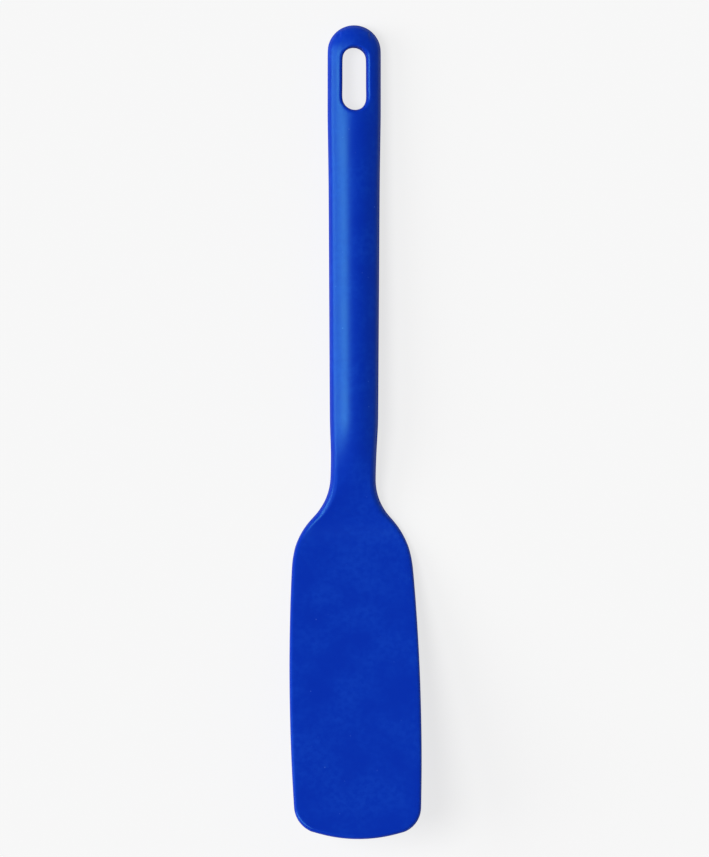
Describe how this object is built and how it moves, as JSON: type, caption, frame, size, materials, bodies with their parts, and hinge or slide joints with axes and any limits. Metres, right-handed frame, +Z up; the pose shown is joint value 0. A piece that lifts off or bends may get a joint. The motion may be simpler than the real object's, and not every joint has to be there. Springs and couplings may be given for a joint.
{
  "type": "silicone spatula",
  "caption": "Long flat-bladed kitchen turner with a cranked neck and a hanging slot, one seamless silicone skin over a stiff core.",
  "frame": {"origin": "middle of the part's box at the level of the table it lies on", "axes": "+Z up from the table, +Y along the tool towards the hanging slot, +X across the blade"},
  "size_m": [0.0486, 0.3004, 0.0351],
  "materials": {
    "silicone": "satin-matt moulded silicone, cobalt blue",
    "nylon": "glass-filled nylon, black, as moulded",
    "spring_steel": "rolled stainless spring strip",
    "rivet_steel": "turned stainless, plain"
  },
  "bodies": {
    "root": {"silicone_skin": "silicone", "handle_core": "nylon", "blade_plate": "spring_steel", "tang_rivet_1": "rivet_steel", "tang_rivet_2": "rivet_steel"}
  },
  "joints": []
}
